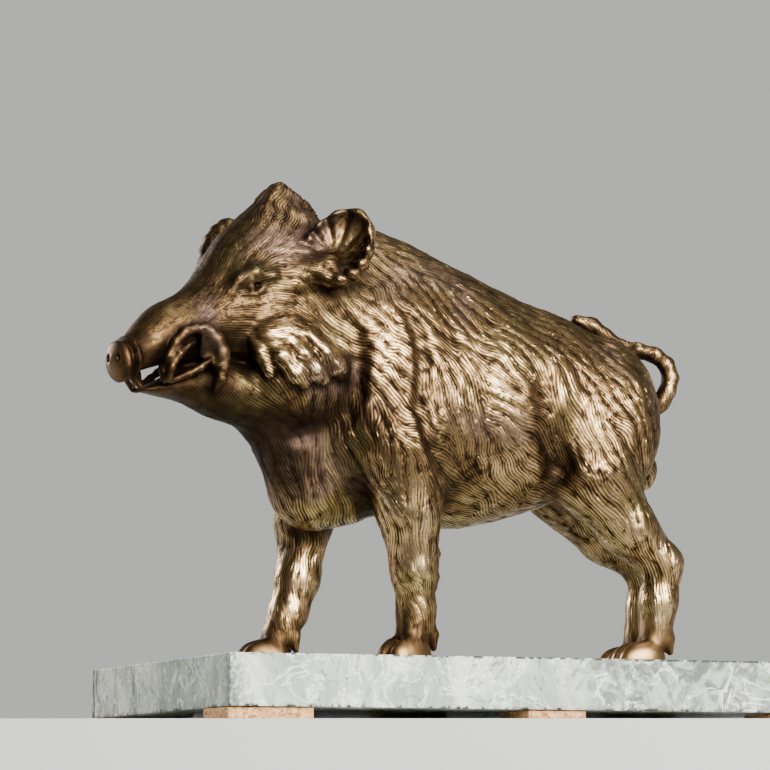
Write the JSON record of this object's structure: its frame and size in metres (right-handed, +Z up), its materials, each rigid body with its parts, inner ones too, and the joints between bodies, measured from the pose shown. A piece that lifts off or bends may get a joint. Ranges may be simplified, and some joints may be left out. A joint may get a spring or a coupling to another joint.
{
  "type": "boar statuette",
  "caption": "Cast bronze wild boar standing with its head turned, jaws parted and tail curled over, on a rectangular marble slab with cork feet.",
  "frame": {"origin": "centre of the footprint of the whole work, on the plane that the cork pads rest on", "axes": "+X from the snout towards the tail, +Y from the side the head turns to towards the other flank, +Z up"},
  "size_m": [0.4284, 0.26, 0.326],
  "materials": {
    "bronze": "dark brown patinated bronze, ridges rubbed golden",
    "marble": "polished pale grey-green marble with darker veins",
    "cork": "agglomerated cork"
  },
  "bodies": {
    "root": {"boar": "bronze", "marble_base": "marble", "cork_pad_1": "cork", "cork_pad_2": "cork", "cork_pad_3": "cork", "cork_pad_4": "cork", "cork_pad_5": "cork", "cork_pad_6": "cork"}
  },
  "joints": []
}
